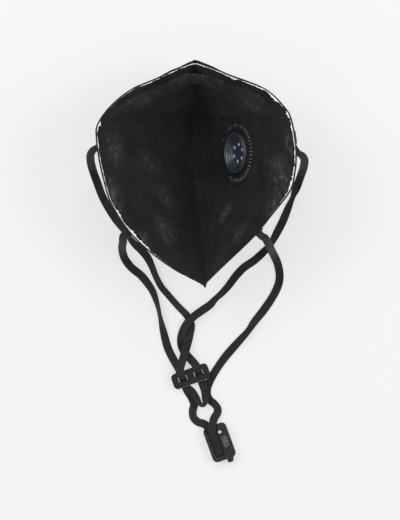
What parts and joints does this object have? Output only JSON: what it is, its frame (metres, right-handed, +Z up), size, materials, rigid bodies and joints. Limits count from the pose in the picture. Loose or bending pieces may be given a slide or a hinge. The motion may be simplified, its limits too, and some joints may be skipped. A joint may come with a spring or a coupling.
{
  "type": "respirator mask",
  "caption": "Black fold-flat respirator mask with a round exhalation valve, lying open side up, with elastic straps, a slider and a neck clip.",
  "frame": {"origin": "on the surface that the mask lies on, under the middle of the mask without its straps, slider and clip", "axes": "+Z up out of the open cup, +Y from the chin to the nose, +X to the side that has the valve"},
  "size_m": [0.1611, 0.2936, 0.0882],
  "materials": {
    "cloth": "matte non-woven cloth",
    "foam": "matte foam strip",
    "filter_ply": "pale fuzzy filter layer",
    "valve_plastic": "glossy moulded",
    "membrane": "thin smooth membrane",
    "strap_plastic": "satin moulded",
    "elastic": "knitted flat elastic"
  },
  "bodies": {
    "root": {"mask_shell": "cloth", "nose_pad": "foam", "filter_edge": "filter_ply", "chin_tail": "cloth", "valve_weld": "cloth", "valve_seat": "valve_plastic", "valve_flap": "membrane", "valve_cover": "valve_plastic", "anchor_upper_left": "elastic", "anchor_upper_right": "elastic", "anchor_lower_left": "elastic", "anchor_lower_right": "elastic", "strap_slider": "strap_plastic", "neck_clip": "strap_plastic", "clip_latch": "strap_plastic", "strap_upper": "elastic", "strap_lower_left": "elastic", "strap_lower_right": "elastic"}
  },
  "joints": []
}
